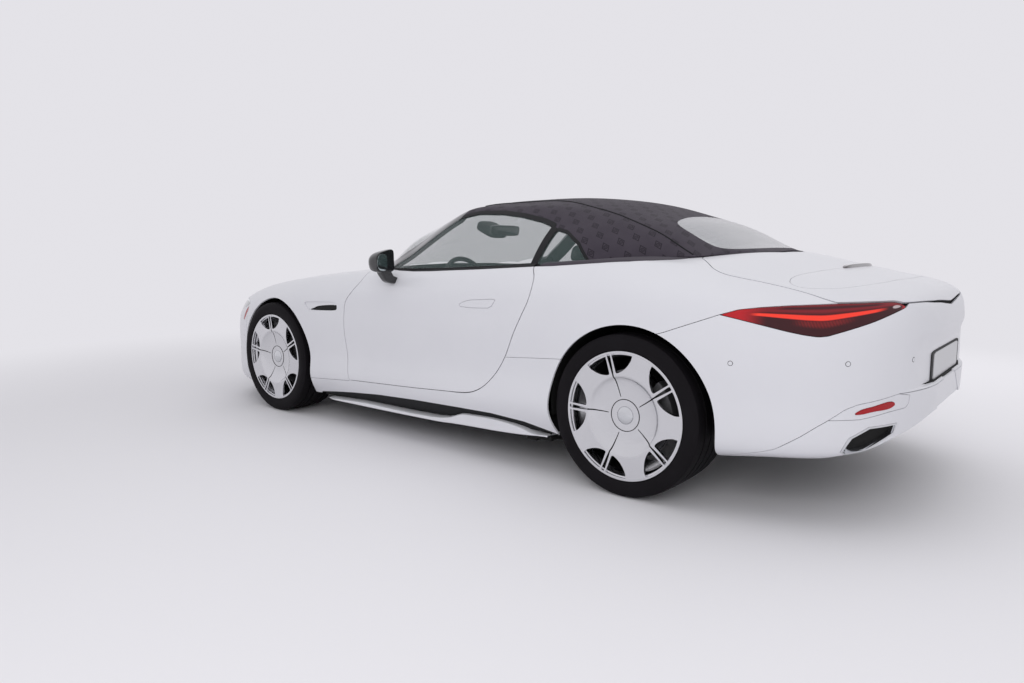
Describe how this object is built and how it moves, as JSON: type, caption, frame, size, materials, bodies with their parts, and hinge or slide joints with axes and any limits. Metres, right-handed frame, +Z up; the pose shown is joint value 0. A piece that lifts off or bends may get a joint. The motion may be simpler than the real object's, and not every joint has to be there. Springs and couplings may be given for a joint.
{
  "type": "two-door soft-top roadster",
  "caption": "Full-size roadster with a raised cloth roof, opening doors, bonnet and boot lid, steered front wheels and turning wheels.",
  "frame": {"origin": "on the ground, below the middle of the overall length and width", "axes": "front of the car towards -Y, its left side towards +X, +Z up"},
  "size_m": [2.124, 4.6965, 1.3559],
  "materials": {
    "body_paint": "satin white paint",
    "chassis": "black dipped steel",
    "cast": "cast, dark",
    "black_trim": "gloss black",
    "interior": "soft-touch dark grey",
    "hide": "light leather",
    "cloth": "woven dark soft-top cloth",
    "glass": "light tint",
    "lamp_clear": "clear lens",
    "lamp_red": "smoked red lens",
    "bright": "bright",
    "alloy": "polished",
    "tyre": "rubber",
    "disc": "machined"
  },
  "bodies": {
    "chassis": {"boot_tub": "chassis", "cowl_panel": "black_trim", "dashboard": "interior", "engine_block": "cast", "exhaust_tips": "bright", "firewall": "chassis", "floor_pan": "chassis", "front_bumper": "body_paint", "front_grille": "black_trim", "front_rails": "chassis", "front_subframe": "chassis", "front_wings": "body_paint", "headlamps": "lamp_clear", "interior_mirror": "black_trim", "quarter_windows": "glass", "rear_axle": "chassis", "rear_bulkhead": "chassis", "rear_bumper": "body_paint", "rear_diffuser": "body_paint", "rear_liners": "chassis", "rear_posts": "chassis", "rear_quarters": "body_paint", "rear_window": "glass", "seats": "hide", "side_skirts": "black_trim", "sill_covers": "body_paint", "sills": "chassis", "soft_top": "cloth", "tail_lamps": "lamp_red", "windscreen": "glass", "windscreen_frame": "black_trim"},
    "door_l": {"door_left": "body_paint", "door_glass_left": "glass", "mirror_left": "black_trim"},
    "door_r": {"door_right": "body_paint", "door_glass_right": "glass", "mirror_right": "black_trim"},
    "bonnet_panel": {"bonnet": "body_paint"},
    "lid_panel": {"boot_lid": "body_paint"},
    "steering": {"steering_wheel": "interior"},
    "knuckle_l": {"knuckle_left": "cast"},
    "knuckle_r": {"knuckle_right": "cast"},
    "wheel_front_left": {"rim_front_left": "alloy", "tyre_front_left": "tyre", "brake_disc_front_left": "disc"},
    "wheel_front_right": {"rim_front_right": "alloy", "tyre_front_right": "tyre", "brake_disc_front_right": "disc"},
    "wheel_rear_left": {"rim_rear_left": "alloy", "tyre_rear_left": "tyre", "brake_disc_rear_left": "disc"},
    "wheel_rear_right": {"rim_rear_right": "alloy", "tyre_rear_right": "tyre", "brake_disc_rear_right": "disc"}
  },
  "joints": [
    {"name": "steer_left", "type": "hinge", "parent": "chassis", "child": "knuckle_l", "pos_m": [0.8125, -1.4085, 0.363], "axis": [0, 0, 1], "range_deg": [-35, 35]},
    {"name": "spin_front_left", "type": "hinge", "parent": "knuckle_l", "child": "wheel_front_left", "pos_m": [0.8125, -1.4085, 0.363], "axis": [1, 0, 0], "continuous": true},
    {"name": "spin_rear_left", "type": "hinge", "parent": "chassis", "child": "wheel_rear_left", "pos_m": [0.7975, 1.2915, 0.358], "axis": [1, 0, 0], "continuous": true},
    {"name": "door_hinge_left", "type": "hinge", "parent": "chassis", "child": "door_l", "pos_m": [0.925, -0.5, 0.565], "axis": [0, 0, -1], "range_deg": [0, 60]},
    {"name": "steer_right", "type": "hinge", "parent": "chassis", "child": "knuckle_r", "pos_m": [-0.8125, -1.4085, 0.363], "axis": [0, 0, 1], "range_deg": [-35, 35]},
    {"name": "spin_front_right", "type": "hinge", "parent": "knuckle_r", "child": "wheel_front_right", "pos_m": [-0.8125, -1.4085, 0.363], "axis": [1, 0, 0], "continuous": true},
    {"name": "spin_rear_right", "type": "hinge", "parent": "chassis", "child": "wheel_rear_right", "pos_m": [-0.7975, 1.2915, 0.358], "axis": [1, 0, 0], "continuous": true},
    {"name": "door_hinge_right", "type": "hinge", "parent": "chassis", "child": "door_r", "pos_m": [-0.925, -0.5, 0.565], "axis": [0, 0, 1], "range_deg": [0, 60]},
    {"name": "steering_column", "type": "hinge", "parent": "chassis", "child": "steering", "pos_m": [0.37, -0.15, 0.85], "axis": [0, 0.9135, 0.4067], "range_deg": [-500, 500]},
    {"name": "bonnet_hinge", "type": "hinge", "parent": "chassis", "child": "bonnet_panel", "pos_m": [0, -0.545, 0.925], "axis": [-1, 0, 0], "range_deg": [0, 50]},
    {"name": "lid_hinge", "type": "hinge", "parent": "chassis", "child": "lid_panel", "pos_m": [0, 1.455, 1.05], "axis": [1, 0, 0], "range_deg": [0, 70]}
  ],
  "couplings": [
    {"joint": "steer_right", "follows": "steer_left", "ratio": 1},
    {"joint": "steering_column", "follows": "steer_left", "ratio": 14}
  ]
}
